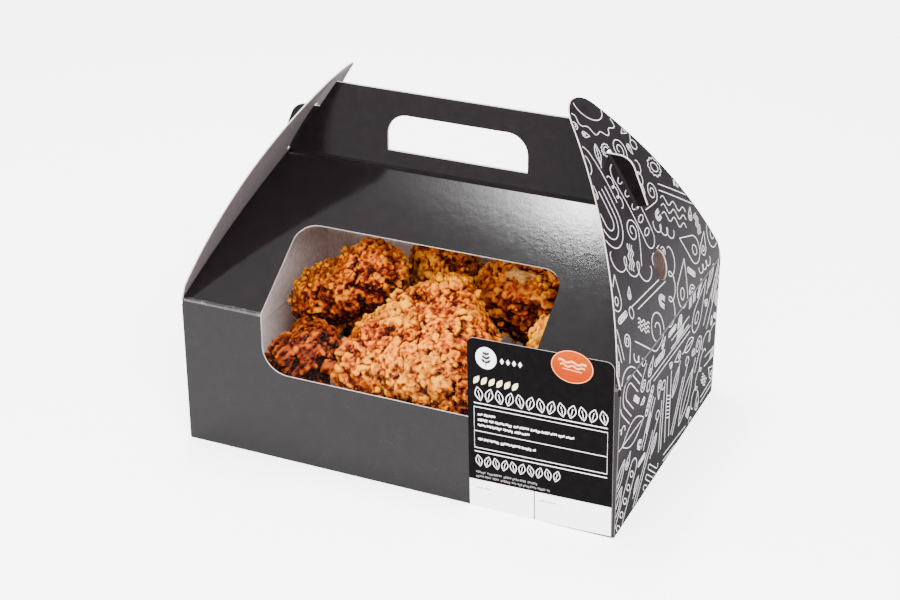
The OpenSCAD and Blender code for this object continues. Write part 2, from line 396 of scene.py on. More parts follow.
def board_material(name, out, ink, edge_box, gloss, liner, tooth, foot_shade):
    """Coated boxboard: printed outside, uncoated pinkish inside, white raw core on cut edges.

    out is the printed side's direction. edge_box keeps the white core to that box of the node,
    so that folded ends stay printed. tooth is the strength of the coating's fine relief, and
    the last argument is how far the outside is darkened towards the foot, a painted shade.
    """
    s = Shader(name)
    facing = s.dot(s.coord.outputs["Normal"], out)
    printed = s.step(facing, 0.45, 0.55)
    inside = s.step(facing, -0.45, -0.55)

    mottle = s.noise(150.0, detail=7.0, rough=0.7)
    fibres = s.noise(900.0, detail=3.0, rough=0.6, stretch=(1.0, 0.35, 0.35))
    rub = s.step(s.noise(38.0, detail=6.0, rough=0.75, distort=1.2), 0.60, 0.78)
    worn = tuple(c * 2.2 + 0.004 for c in ink)
    outside_colour = s.ramp(mottle, *shades(ink, (0.3, 0.7), (0.7, 1.4)))
    outside_colour = s.mix(s.times(rub, 0.55), outside_colour, worn)
    inner_colour = s.ramp(fibres, *shades(liner, (0.25, 0.80), (0.6, 1.0), (0.8, 1.1)))
    edge_colour = s.ramp(s.noise(700.0), (0.3, (0.38, 0.33, 0.31)), (0.6, CORE))

    edge = s.math("SUBTRACT", 1.0, s.math("ADD", printed, inside), clamp=True)
    if edge_box is not None:
        for at, low, high in zip(s.place(), *edge_box):
            above = s.math("GREATER_THAN", at, low)
            below = s.math("LESS_THAN", at, high)
            edge = s.times(edge, s.times(above, below))
    # Painted shade: the outside grows darker towards the foot of the panel.
    if foot_shade > 0:
        painted_foot_shade = s.times(s.step(s.place()[2], *FOOT_SHADE_HEIGHTS), foot_shade)
        outside_colour = s.mix(painted_foot_shade, outside_colour, tuple(c * 0.2 for c in ink))
    colour = s.mix(inside, outside_colour, inner_colour)
    colour = s.mix(edge, colour, edge_colour)
    shine = s.math("ADD", s.span(mottle, 0.065, 0.115), s.times(rub, 0.06))
    dull = s.math("MAXIMUM", inside, edge)
    s.surface(colour, s.math("ADD", shine, s.times(dull, 0.5), clamp=True), gloss)
    grain = s.math("ADD", s.times(fibres, 0.25), s.times(mottle, 0.9))
    s.bump(grain, tooth, 0.0004)
    return s.mat


# Heights between which the outside of the end walls is darkened towards the foot, a painted shade.
FOOT_SHADE_HEIGHTS = 60 * MM, 12 * MM
WINDOW_CUT = (-0.075, -0.2, 0.045), (0.075, 0.2, 0.4)
NO_EDGES = (1, 1, 1), (2, 2, 2)
BOARDS = {
    "front_wall": (FRONT, BLACK, WINDOW_CUT),
    "back_wall": (-FRONT, BLACK, NO_EDGES),
    "end_wall_right": (RIGHT, WALL_PRINT, NO_EDGES),
    "end_wall_left": (-RIGHT, WALL_PRINT, NO_EDGES),
    "roof_front": (FRONT_NORMAL, BLACK, None),
    "roof_back": (FRONT_NORMAL * TO_BACK, BLACK, None),
    "handle_front": (FRONT, BLACK, None),
    "handle_back": (-FRONT, BLACK, None),
    "gable_right": (GABLE_NORMAL, PRINT, None),
    "gable_left": (GABLE_NORMAL * MIRROR, PRINT, None),
    "glue_flap": (-FRONT, BLACK, None),
    "inner_tab_left": (-RIGHT, BLACK, None),
    "inner_tab_right": (RIGHT, BLACK, None),
    **{"bottom_flap_" + side: (-UP, BLACK, None) for side in ("front", "back", "left", "right")},
}
# Gloss, inner liner, tooth and painted foot shade by kind of panel; the gables' liner is darkened as painted
# shade.
FINISH = {"handle": (0.05, LINER, 0.16, 0.0), "roof": (0.45, LINER, 0.10, 0.0),
          "end": (0.001, LINER, 0.05, 0.85), "gable": (0.010, PAINTED_SHADE_LINER, 0.07, 0.0)}
PLAIN_FINISH = 0.13, LINER, 0.16, 0.0
for board_node, looks in BOARDS.items():
    finish = FINISH.get(board_node.split("_")[0], PLAIN_FINISH)
    paint(NODES[board_node], board_material("board_" + board_node, *looks, *finish))


# ---- creases
def crease_material(name, out, ink, wear, gloss):
    """Folded board at a score line: the ink cracks and shows specks of the white core."""
    s = Shader(name)
    facing = s.dot(s.coord.outputs["Normal"], out)
    inside = s.step(facing, 0.0, -0.2)
    patch = s.step(s.noise(55.0, detail=5.0, rough=0.8), 0.62 - wear, 0.72 - wear * 0.6)
    speck = s.step(s.noise(900.0, detail=2.0), 0.50, 0.58)
    crack = s.times(s.times(patch, speck), 0.75)
    ink_colour = s.ramp(s.noise(200.0), *shades(ink, (0.3, 0.8), (0.7, 1.5)))
    colour = s.mix(crack, ink_colour, (0.42, 0.37, 0.36))
    s.surface(s.mix(inside, colour, (0.60, 0.50, 0.46)), s.span(s.noise(260.0), 0.28, 0.5), gloss)
    s.bump(speck, 0.3, 0.0002)
    return s.mat


CREASE_REACH = 1.3 * MM
GABLE_CREASE_REACH = 0.75 * MM
CREASE_PROUD = 0.05 * MM
CREASE_DEEP = 0.3 * MM


def crease_strip(name, ends, first, second, first_normal, second_normal, ink, wear,
                 reach=CREASE_REACH):
    """Thin strip of board over a hinge line, bent across it from one panel to the other.

    ends are the hinge line's two ends; first and second run away from it along the two panels,
    each covered as far as reach.
    """
    start, end = (Vector(p) for p in ends)
    reaches = (1.0, 0.55, 0.22, 0.0)
    sides = [(first * r, first_normal) for r in reaches]
    sides += [(second * r, second_normal) for r in reversed(reaches[:-1])]
    middle_normal = (first_normal + second_normal).normalized()
    sides[len(reaches) - 1] = (Vector(), middle_normal)
    steps = 24
    outer, inner = [], []
    for i in range(steps + 1):
        base = start.lerp(end, i / steps)
        outer.append([base + offset * reach + normal * CREASE_PROUD for offset, normal in sides])
        inner.append([base + offset * reach - normal * CREASE_DEEP for offset, normal in sides])
    bm = bmesh.new()
    shell(bm, outer, inner)
    strip = finish_mesh(name, bm)
    paint(strip, crease_material(name, middle_normal, ink, wear, 0.5 if wear > 0 else 0.04))
    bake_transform(strip)


def side_of(name):
    """At the front or back: the way out, the roof's slope and normal, and the middles of both folds."""
    flip = TO_BACK if name == "back" else SAME
    fold = Vector((0, FOLD.y, FOLD.z))
    return [v * flip for v in (FRONT, FRONT_SLOPE, FRONT_NORMAL, FRONT_CREASE, fold)]


def all_creases():
    foot = HALF_L - 1.3 * MM
    window = WINDOW_HALF_W + 0.2 * MM
    runs = ("front_left", -foot, -window, 0.1), ("front_right", window, foot, 0.1), ("back", -foot, foot, 0)
    for name, left, right, wear in runs:
        side = name.split("_")[0]
        out, slope, normal, crease, _ = side_of(side)
        ends = crease + RIGHT * left, crease + RIGHT * right
        crease_strip("crease_" + name, ends, -UP, slope, out, normal, BLACK, wear)
    for side in ("front", "back"):
        out, slope, normal, _, fold = side_of(side)
        ends = fold - RIGHT * FOLD_HALF_W, fold + RIGHT * FOLD_HALF_W
        crease_strip("crease_handle_" + side, ends,
                     -slope, UP, normal, out, BLACK, -0.2)
    width = Vector((0, HALF_D - 0.6 * MM, 0))
    half_bow = math.asin(GABLE_CHORD / 2 / GABLE_BOW_R)
    up_gable = Vector((math.sin(half_bow - GABLE_LEAN), 0, math.cos(half_bow - GABLE_LEAN)))
    gable_out = Vector((up_gable.z, 0, -up_gable.x))
    for side, flip in (("right", SAME), ("left", MIRROR)):
        corner = Vector((HALF_L, 0, CREASE)) * flip
        crease_strip("crease_gable_" + side, (corner - width, corner + width),
                     -UP, up_gable * flip, RIGHT * flip, gable_out * flip, PRINT, -0.2, GABLE_CREASE_REACH)


all_creases()


# ---- fried chicken
# noise_vector takes its offsets from this seed; without one they come from the clock.
noise.seed_set(1)


def relaxed(co, edges, rounds):
    """Each point moves towards the mean of its neighbours."""
    a, b = edges.T
    size = len(co)
    counts = np.maximum(np.bincount(edges.ravel(), minlength=size), 1)[:, None]
    for _ in range(rounds):
        total = [np.bincount(a, co[b, axis], size) + np.bincount(b, co[a, axis], size) for axis in range(3)]
        co = co * 0.4 + np.stack(total, axis=1) / counts * 0.6
    return co


def read(data, name, width, kind=np.float32):
    values = np.zeros(len(data) * width, kind)
    data.foreach_get(name, values)
    return values.reshape(-1, width)


def mesh_arrays(mesh):
    """The mesh's points, their normals and its edges."""
    co, normal = (read(mesh.vertices, name, 3).astype(float) for name in ("co", "normal"))
    return co, normal, read(mesh.edges, "vertices", 2, np.int32)


def move_points(mesh, co):
    mesh.vertices.foreach_set("co", co.astype(np.float32).ravel())
    mesh.update()


def store(mesh, name, values):
    attribute = mesh.attributes.new(name, "FLOAT", "POINT")
    attribute.data.foreach_set("value", np.clip(values, 0, 1).astype(np.float32))


def smoothstep(value, low, high):
    t = min(max((value - low) / (high - low), 0.0), 1.0)
    return t * t * (3 - 2 * t)


def dome(distance, reach):
    """Rounded lump: 1 at the middle of a cell, 0 at its edge."""
    return max(0.0, 1.0 - (distance / reach) ** 2)


# Size of the crust's flakes and depth of the splits between them, in millimetres.
FLAKE = 10.5
SPLIT_DEEP = 3.0


def body(p):
    """Large forms of a fried piece, in millimetres: swells, flakes of crust and the splits between them."""
    q = p + noise.noise_vector(p / 9.0) * 3.0
    flake, _ = noise.voronoi(q / FLAKE)
    split = max(0.0, 1.0 - (flake[1] - flake[0]) / 0.14) * smoothstep(noise.noise(p / 13.0), -0.05, 0.25)
    swell = noise.noise(p / 26.0) * 2.8 + noise.noise(q / 12.0) * 2.2
    return swell + 1.8 * dome(flake[0], 0.85) - SPLIT_DEEP * split


def ridges(p):
    """Sharp-crested noise, 0 in the hollows and 1 along thin crests."""
    value = abs(noise.noise(p))
    return (1.0 - value * 2.2) ** 2 if value < 0.45 else 0.0


def grain(p, fibre):
    """Small relief of the crust, or the strands of torn meat, in millimetres."""
    q = p + noise.noise_vector(p / 4.0) * 2.2
    height = noise.noise(q / 4.6) * 1.1 + 0.55 * ridges(q / 5.5) + noise.noise(p / 2.0) * 0.70
    height += 0.35 * ridges(q / 2.6 + Vector((9, 4, 7))) + noise.noise(p / 0.9) * 0.35
    if fibre is not None:
        strand = p - fibre * p.dot(fibre) * 0.86
        height += noise.noise(strand / 2.6) * 1.3 + noise.noise(strand / 1.2) * 0.6
    return height


def wild(rng):
    """A vector in a random direction."""
    return Vector([rng.gauss(0, 1) for _ in range(3)])


def ball():
    """Unit ball as points and triangles, the pattern for crumbs and knots of batter."""
    bm = bmesh.new()
    bmesh.ops.create_uvsphere(bm, u_segments=6, v_segments=4, radius=1.0)
    bmesh.ops.triangulate(bm, faces=bm.faces)
    points = np.array([v.co for v in bm.verts])
    faces = np.array([[v.index for v in f.verts] for f in bm.faces])
    bm.free()
    return points, faces


CRUMB = ball()
CRUMB_SHAPES = 7


def with_balls(mesh, balls, rng):
    """The mesh with squashed balls (centre, radius) added to it as loose shells."""
    points, faces = CRUMB
    shapes = []
    for _ in range(CRUMB_SHAPES):
        shapes.append(points * np.array([[rng.uniform(0.55, 1.25)] for _ in points]))
    all_points = [np.array([v.co for v in mesh.vertices])]
    mesh.calc_loop_triangles()
    all_faces = [np.array([t.vertices for t in mesh.loop_triangles])]
    count = len(mesh.vertices)
    for centre, radius in balls:
        turn = Matrix.Rotation(rng.uniform(0, math.tau), 3, wild(rng))
        squash = np.array((rng.uniform(0.9, 1.4), rng.uniform(0.6, 1.0), rng.uniform(0.35, 0.8))) * radius
        all_points.append((rng.choice(shapes) * squash) @ np.array(turn).T + np.array(centre))
        all_faces.append(faces + count)
        count += len(points)
    joined = bpy.data.meshes.new(mesh.name)
    joined.from_pydata(np.concatenate(all_points).tolist(), [], np.concatenate(all_faces).tolist())
    return joined


def fuse(obj, cell, rounds):
    """Voxel grid over everything in the object, then relaxed."""
    grid = obj.modifiers.new("grid", "REMESH")
    grid.mode = "VOXEL"
    grid.voxel_size = cell * MM
    bpy.context.view_layer.update()
    evaluated = obj.evaluated_get(bpy.context.evaluated_depsgraph_get())
    mesh = bpy.data.meshes.new_from_object(evaluated)
    obj.modifiers.clear()
    obj.data = mesh
    co, _, edges = mesh_arrays(mesh)
    move_points(mesh, relaxed(co, edges, rounds))


# The food stays this far inside the roof panels and the walls, and over the base.
CLEAR = BOARD + 0.9 * MM
FLOOR_TOP = 1.3 * MM
LIMITS = [(FRONT_CREASE * flip, way * flip) for way in (FRONT_NORMAL, FRONT) for flip in (SAME, TO_BACK)]
LIMITS += [(RIGHT * HALF_L * flip, RIGHT * flip) for flip in (SAME, MIRROR)]


def keep_inside(co):
    for point, normal in LIMITS:
        n = np.array(normal)
        over = (co - np.array(point)) @ n + CLEAR
        co = co - np.maximum(over, 0)[:, None] * n
    co[:, 2] = np.maximum(co[:, 2], FLOOR_TOP)
    return co


def chicken_piece(kind, seed, cell, crumbs, knots, inset=2.2, ridge=(), fibre=None, bald=None):
    """Breaded skin grown on the CAD piece's own form.

    The form swells and splits, crumbs and knots of batter are scattered over it in patches, and
    a fine voxel grid fuses them. ridge is a crest of knots through (x, y, z, radius) in millimetres;
    fibre is the direction of torn meat; bald is (x, y, z, reach x, y, z) for a patch without crust.
    """
    rng = random.Random(seed)
    obj = add_object("fried_" + kind, NODES["chicken_" + kind].data.copy())
    obj.data.materials.clear()
    fuse(obj, 1.5, 6)
    shift = Vector((37.0, 11.0, 53.0)) * seed
    co, normal, _ = mesh_arrays(obj.data)
    swell = np.array([body(Vector(c) * 1000.0 + shift) for c in co])
    co = co + normal * (swell - inset)[:, None] * MM
    move_points(obj.data, co)

    balls = []
    for i in rng.choices(range(len(co)), k=knots):
        balls.append((Vector(co[i]) - Vector(normal[i]) * MM, rng.uniform(2.0, 5.2) * MM))
    for (x, y, z, radius), (x2, y2, z2, radius2) in zip(ridge, ridge[1:]):
        for _ in range(9):
            t = rng.random()
            spot = wild(rng) * 2.0 + Vector((x, y, z)).lerp(Vector((x2, y2, z2)), t)
            balls.append((spot * MM, (radius + (radius2 - radius) * t) * rng.uniform(0.45, 1.0) * MM))
    for c, n in zip(co, normal):
        p = Vector(c) * 1000.0 + shift
        patch = smoothstep(noise.noise(p / 9.0) + 0.4 * noise.noise(p / 3.5), -0.10, 0.25)
        if bald is not None and np.linalg.norm((c * 1000 - bald[:3]) / np.array(bald[3:])) < 1:
            patch = 0
        if rng.random() < crumbs * (0.05 + 0.95 * patch):
            radius = min(2.5, 0.5 + rng.expovariate(2.4)) * MM
            side = wild(rng) * 0.6 * MM
            balls.append((Vector(c) + side + Vector(n) * radius * rng.uniform(-0.3, 0.45), radius))
    name = obj.name
    obj.data = with_balls(obj.data, balls, rng)
    fuse(obj, cell, 2)
    obj.data.name = name

    mesh = obj.data
    co, normal, _ = mesh_arrays(mesh)
    direction = None if fibre is None else Vector(fibre).normalized()
    height = np.array([grain(Vector(c) * 1000.0 + shift, direction) for c in co])
    move_points(mesh, keep_inside(co + normal * height[:, None] * MM))

    co, normal, edges = mesh_arrays(mesh)
    # Painted shade: the tone darkens the crust in its pits and splits, by how far each point lies below a
    # smoothed copy of the surface, lightens its crests, and darkens crust that faces down; drift adds the
    # crust's own uneven tone.
    scale = (0.55 / cell) ** 2
    near, middle, wide = (relaxed(co, edges, max(2, round(count * scale))) for count in (5, 34, 190))
    fine, mid, broad = (np.einsum("ij,ij->i", co - soft, normal) / (size * MM)
                        for soft, size in ((near, 0.22), (middle, 0.75), (wide, 2.2)))
    painted_underside_shade = np.clip((0.30 - relaxed(normal, edges, 30)[:, 2]) / 0.9, 0, 1)
    level = 0.53 + 0.10 * np.clip(fine, -1.8, 1.8) + 0.24 * np.clip(mid, -1.8, 1.6)
    level += 0.25 * np.clip(broad, -2.0, 1.2) - 0.50 * painted_underside_shade
    drift = np.array([0.18 * noise.noise((Vector(c) * 1000.0 + shift) / 5.0) for c in co])
    store(mesh, "crust_tone_and_shade", level + drift)
    if bald is not None:
        reach = np.linalg.norm((co * 1000 - np.array(bald[:3])) / np.array(bald[3:]), axis=1)
        store(mesh, "bare", 1.3 - reach + 4.0 * drift)
    set_smooth(mesh, True)
    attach(obj, "tray")
    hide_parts("chicken_" + kind)
    return obj


# Colours of the crust from its pits, darkest in painted shade, up to its crumb tops: a level, then red,
# green and blue.
FRIED = ((0.04, 0.006, 0.0006, 0.0003), (0.18, 0.026, 0.0020, 0.0004), (0.34, 0.090, 0.0085, 0.0006),
         (0.50, 0.210, 0.0290, 0.0008), (0.66, 0.380, 0.0720, 0.0008), (0.82, 0.550, 0.1480, 0.0010),
         (0.98, 0.700, 0.2650, 0.0025))
RED = ((0.05, 0.006, 0.0005, 0.0003), (0.30, 0.036, 0.0024, 0.0004), (0.55, 0.150, 0.0140, 0.0006),
       (0.90, 0.380, 0.0680, 0.0020))
PALE = ((0.05, 0.020, 0.0020, 0.0004), (0.30, 0.150, 0.0280, 0.0008), (0.55, 0.410, 0.1150, 0.0012),
        (0.90, 0.680, 0.3100, 0.0045))


def crust_material(name, darkness, redness, paleness):
    """Deep-fried breading: orange-brown flanks, golden crumb tops, an oily shine, and pits darkened by
    painted shade.
    """
    s = Shader(name)
    crust_tone_and_shade = s.node("ShaderNodeAttribute", attribute_name="crust_tone_and_shade").outputs["Fac"]
    bare = s.node("ShaderNodeAttribute", attribute_name="bare").outputs["Fac"]
    speck = s.noise(520.0, detail=5.0, rough=0.75)
    patch = s.noise(80.0, detail=4.0, rough=0.6, distort=0.8)
    level = s.math("ADD", crust_tone_and_shade, s.span(speck, -0.16, 0.16))
    level = s.math("ADD", level, s.span(patch, -0.42, 0.42))
    level = s.math("SUBTRACT", level, darkness, clamp=True)
    fried, red, pale = (s.ramp(level, *((at, rgb) for at, *rgb in row)) for row in (FRIED, RED, PALE))
    reds = s.step(s.noise(34.0, detail=3.0, distort=0.5), 0.42, 0.62)
    pales = s.step(s.noise(27.0, detail=3.0, distort=0.6), 0.50, 0.63)
    colour = s.mix(s.times(reds, redness), fried, red)
    colour = s.mix(s.times(pales, paleness), colour, pale)
    skin = s.ramp(speck, (0.3, (0.34, 0.13, 0.02)), (0.7, (0.58, 0.34, 0.10)))
    colour = s.mix(s.times(s.step(bare, 0.3, 0.8), 0.8), colour, skin)
    s.surface(colour, s.span(s.noise(340.0), 0.28, 0.60), 0.05)
    s.bsdf.inputs["Subsurface Weight"].default_value = 0.10
    s.bsdf.inputs["Subsurface Radius"].default_value = (1.0, 0.25, 0.05)
    s.bsdf.inputs["Subsurface Scale"].default_value = 0.002
    s.bump(speck, 0.6, 0.0006)
    return s.mat


CREST = ((-38, -63, 50, 4.5), (-31, -57, 61, 5.0), (-24, -50, 69, 5.5), (-12, -39, 79, 5.0),
         (4, -24, 88, 6.0), (20, -22, 84, 5.5))
TORN = ((-81, -36, 42, 7.0), (-72, -38, 50, 7.5), (-62, -42, 54, 8.0), (-52, -47, 53, 7.0),
        (-46, -52, 44, 6.0))
BALD = 35, 0, 89, 10, 8, 3.0
MEAT_GRAIN = 0.4, 0.5, 0.75
# How each piece is made, and how dark, how red and how pale it was fried.
FOOD = {
    "breast_1": (dict(seed=1, cell=0.5, crumbs=0.20, knots=40, ridge=CREST), (-0.01, 0.50, 0.50)),
    "breast_2": (dict(seed=2, cell=0.7, crumbs=0.30, knots=8), (-0.14, 0.05, 0.95)),
    "thigh_1": (dict(seed=3, cell=0.5, crumbs=0.36, knots=20), (0.07, 0.50, 0.15)),
    "thigh_2": (dict(seed=4, cell=0.55, crumbs=0.26, knots=26, bald=BALD), (-0.02, 0.85, 0.15)),
    "drumstick_1": (dict(seed=5, cell=0.55, crumbs=0.30, knots=8), (0.02, 0.50, 0.30)),
    "drumstick_2": (dict(seed=6, cell=1.2, crumbs=0.25, knots=8, inset=2.0), (0.08, 0.50, 0.30)),
    "wing_1": (dict(seed=7, cell=0.55, crumbs=0.16, knots=14, inset=1.6, ridge=TORN, fibre=MEAT_GRAIN),
               (0.30, 1.00, 0.0)),
    "wing_2": (dict(seed=8, cell=1.2, crumbs=0.25, knots=6, inset=1.8), (0.10, 0.50, 0.30)),
}
for kind, (build, frying) in FOOD.items():
    paint(chicken_piece(kind, **build), crust_material("crust_" + kind, *frying))


# ---- window film
def film_material():
    """Clear film, seen only by its gloss: mirror-like, and nearly all see-through but for glancing views."""
    s = Shader("clear_film")
    weight = s.node("ShaderNodeFresnel", IOR=1.5).outputs[0]
    ripple = s.noise(26.0, detail=2.0)
    haze = s.span(s.noise(60.0, detail=4.0), 0.4, 1.0)
    s.feed(s.bsdf.inputs["Alpha"], s.math("MULTIPLY", s.times(weight, haze), 0.012, clamp=True))
    tint = s.ramp(ripple, (0.3, (0.94, 0.95, 0.96)), (0.7, (1.0, 1.0, 1.0)))
    s.link(tint, s.bsdf.inputs["Base Color"])
    s.bsdf.inputs["Metallic"].default_value = 1.0
    s.bsdf.inputs["Roughness"].default_value = 0.07
    s.bump(ripple, 0.25, 0.001)
    return s.mat


# How far from the crease the film starts to bend.
FILM_BEND = 1.6 * MM


def window_film():
    """One sheet glued inside the window, running up the wall, over the crease and up the roof."""
    lower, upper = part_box("window_film_lower"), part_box("window_film_upper")
    thick = lower[1].y - lower[0].y
    depth = HALF_D + lower[0].y
    low = lower[0].z
    high = (upper[1].z - CREASE) / math.sin(ROOF_PITCH) + depth / math.tan(ROOF_PITCH)
    half_w = lower[1].x

    def profile(inset):
        corner_up = inset * math.tan(math.radians(45) - ROOF_PITCH / 2)
        corner = FRONT_CREASE + Vector((0, inset, -corner_up))
        wall_foot = Vector((0, corner.y, low))
        roof_end = FRONT_CREASE + FRONT_SLOPE * high - FRONT_NORMAL * inset
        before, after = corner - UP * FILM_BEND, corner + FRONT_SLOPE * FILM_BEND
        points = [wall_foot.lerp(before, k / 8) for k in range(8)]
        for k in range(9):
            t = k / 8
            points.append(before * (1 - t) ** 2 + corner * 2 * t * (1 - t) + after * t * t)
        return points + [after.lerp(roof_end, k / 14) for k in range(1, 15)]

    across = [half_w * (k / 16 - 1) for k in range(33)]
    outer, inner = ([[p + RIGHT * x for x in across] for p in profile(inset)]
                    for inset in (depth, depth + thick))
    bm = bmesh.new()
    shell(bm, outer, inner)
    film = finish_mesh("window_film_sheet", bm)
    paint(film, film_material())
    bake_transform(film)
    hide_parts("window_film_lower", "window_film_upper")


window_film()


# ---- label and sticker
LABEL_W = 74.2
LABEL_H = 95.0
LABEL_X = 78.2
LABEL_TILT = math.radians(1.3)
LABEL_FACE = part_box("product_label")[0].y
LEFT_MARGIN = 3.2
RIGHT_MARGIN = 71.4
DISC = 9.8, 9.8
STRIP_TOP = 78.0
STRIP_DEEP = 16.1
DIVIDER = 34.4
INK_LIFT = 0.05 * MM


def on_label(u, v, lift):
    """A point u from the label's left edge and v down from its top edge, in millimetres."""
    a, b = u - LABEL_W / 2, LABEL_H / 2 - v
    x = LABEL_X + a * math.cos(LABEL_TILT) - b * math.sin(LABEL_TILT)
    z = LABEL_H / 2 - 0.8 + a * math.sin(LABEL_TILT) + b * math.cos(LABEL_TILT)
    return Vector((x * MM, LABEL_FACE - lift, max(z, 0.05) * MM))


def ink_material(name, colour, shine=0.15):
    """Printed ink, a little uneven, with tiny pin holes."""
    s = Shader(name)
    uneven = s.noise(350.0, detail=5.0, rough=0.7)
    thin = s.step(s.noise(1800.0, detail=2.0), 0.66, 0.75)
    full = s.ramp(uneven, *shades(colour, (0.3, 0.86), (0.7, 1.0)))
    colour = s.mix(s.times(thin, 0.5), full, tuple(c * 0.4 for c in colour))
    s.surface(colour, s.span(uneven, 0.35, 0.55), shine)
    s.bump(uneven, 0.1, 0.0001)
    return s.mat


def printed(name, draw, ink, body="tray", slot="label_card"):
    """One object for everything printed in one place in one ink."""
    bm = bmesh.new()
    draw(bm)
    obj = finish_mesh(name, bm, smooth=False)
    paint(obj, ink)
    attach(obj, body)


def block(bm, outline):
    plate(bm, outline, on_label, 0, INK_LIFT)


def box(u, v, width, height):
    return [(u, v), (u + width, v), (u + width, v + height), (u, v + height)]


def line(bm, points, weight, closed=False):
    ribbon(bm, points, on_label, weight, 0, INK_LIFT, closed)


def oval(u, v, across, down, count=28, wobble=0.0, lobes=0):
    """Outline of an oval, with an optional scalloped edge."""
    outline = []
    for k in range(count):
        turn = math.tau * k / count
        reach = 1 + wobble * math.cos(lobes * turn)
        outline.append((u + across * reach * math.cos(turn), v + down * reach * math.sin(turn)))
    return outline


def small_print(bm, u, v, length, height, rng):
    """A row of tiny blocks that stands for a line of small print."""
    end = u + length
    while u < end - 0.8:
        word = min(rng.uniform(1.8, 5.2), end - u)
        letter = u
        while letter < u + word:
            down = v + rng.choice((0, 0, 0.25)) * height
            block(bm, box(letter, down, 0.55, height * rng.choice((0.75, 0.75, 1.0))))
            letter += 0.85
        u += word + 0.9


def turned(points, u, v, turn):
    """The points turned about the origin and moved to (u, v)."""
    c, s = math.cos(turn), math.sin(turn)
    return [(u + a * c - b * s, v + a * s + b * c) for a, b in points]


def leaf(u, v, length, width, turn, count=12):
    """Outline of a pointed leaf from its foot at (u, v)."""
    side = [(length * k / count, width / 2 * math.sin(math.pi * k / count)) for k in range(count + 1)]
    return turned(side + [(a, -b) for a, b in reversed(side[1:-1])], u, v, turn)


def ornament_band(bm, u, v, height, pitch, count, weight):
    """A border of tall leaf outlines that lean to and fro, in place of a title."""
    for k in range(count):
        lean = math.radians(-90 + (13 if k % 2 else -13))
        foot = u + pitch * (k + 0.5) - height / 2 * math.cos(lean)
        line(bm, leaf(foot, v + height, height, pitch * 0.72, lean), weight, closed=True)
        line(bm, turned([(height * 0.18, 0), (height * 0.72, 0)], foot, v + height, lean), weight * 0.8)


def white_print(bm):
    rng = random.Random(21)
    block(bm, oval(*DISC, 5.4, 5.8, count=48))
    for k in range(4):
        middle = 18.0 + k * 3.1
        block(bm, [(middle - 1.0, 10.0), (middle, 8.4), (middle + 1.0, 10.0), (middle, 11.6)])
    ornament_band(bm, LEFT_MARGIN, 26.0, 7.4, 5.3, 13, 0.38)
    for down in (35.0, 61.9):
        line(bm, [(LEFT_MARGIN, down), (RIGHT_MARGIN, down)], 0.45)
    line(bm, box(LEFT_MARGIN, 37.2, RIGHT_MARGIN - LEFT_MARGIN, 22.6), 0.34, closed=True)
    line(bm, [(LEFT_MARGIN, 50.4), (RIGHT_MARGIN, 50.4)], 0.32)
    for down, length in ((40.4, 10.0), (43.4, 49.0), (46.4, 28.0), (54.2, 30.0)):
        small_print(bm, 5.2, down, length, 1.3, rng)
    ornament_band(bm, LEFT_MARGIN, 63.8, 6.2, 4.5, 10, 0.32)


def sprig(bm):
    """A stem with three pairs of leaves, cut dark out of the white disc."""
    ribbon(bm, [(DISC[0], 14.2), (DISC[0], 6.2)], on_label, 0.5, INK_LIFT, 2 * INK_LIFT)
    for k in range(3):
        for side in (-1, 1):
            turn = math.radians(-90 + side * 48)
            outline = leaf(DISC[0], 12.6 - 2.2 * k, 3.5 - 0.5 * k, 1.4, turn)
            plate(bm, outline, on_label, INK_LIFT, 2 * INK_LIFT)


def grey_print(bm):
    rng = random.Random(22)
    for down, length in ((72.9, 33.0), (75.3, 38.0)):
        small_print(bm, 3.8, down, length, 1.2, rng)


def cream_print(bm):
    """A short row of solid leaves over the border."""
    for k in range(6):
        block(bm, leaf(LEFT_MARGIN + k * 4.0, 24.6, 5.4, 2.5, math.radians(-58)))


def price_strip(bm):
    for start, end in ((0.25, DIVIDER - 0.3), (DIVIDER + 0.3, LABEL_W - 0.4)):
        block(bm, box(start, STRIP_TOP, end - start, STRIP_DEEP))


def strip_print(bm):
    rng = random.Random(23)
    for u, v, length in ((4.2, 82.0, 6.5), (DIVIDER + 3.2, 82.0, 8.0)):
        end = u + length
        while u < end:
            plate(bm, box(u, v, 0.5, 0.9), on_label, INK_LIFT, 1.6 * INK_LIFT)
            u += rng.choice((0.8, 0.8, 1.5))


LABEL_ART = (
    ("label_print_white", white_print, (0.84, 0.82, 0.82)),
    ("label_sprig", sprig, (0.010, 0.009, 0.010)),
    ("label_print_grey", grey_print, (0.16, 0.15, 0.15)),
    ("label_print_cream", cream_print, (0.80, 0.68, 0.42)),
    ("label_price_strip", price_strip, (0.92, 0.91, 0.92)),
    ("label_strip_print", strip_print, (0.10, 0.09, 0.10)),
)
for art_name, draw_art, art_colour in LABEL_ART:
    printed(art_name, draw_art, ink_material("ink_" + art_name, art_colour))

card = Shader("label_card_black")
card_mottle = card.noise(260.0, detail=5.0, rough=0.65)
card_ink = card.ramp(card_mottle, (0.3, (0.0016, 0.0012, 0.0014)), (0.7, (0.0030, 0.0024, 0.0028)))
card_edge = card.step(card.dot(card.coord.outputs["Normal"], FRONT), 0.6, 0.4)
card.surface(card.mix(card_edge, card_ink, (0.30, 0.27, 0.26)), card.span(card_mottle, 0.20, 0.32), 0.012)
card.bump(card_mottle, 0.12, 0.0002)
paint(NODES["product_label"], card.mat)

STICKER = 93.6, 88.7, 21.0, 17.0
STICKER_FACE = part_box("oval_sticker")[0].y


def on_sticker(u, v, lift):
    """A point on the sticker's face, in millimetres from its centre."""
    return Vector(((STICKER[0] + u) * MM, STICKER_FACE - lift, (STICKER[1] + v) * MM))


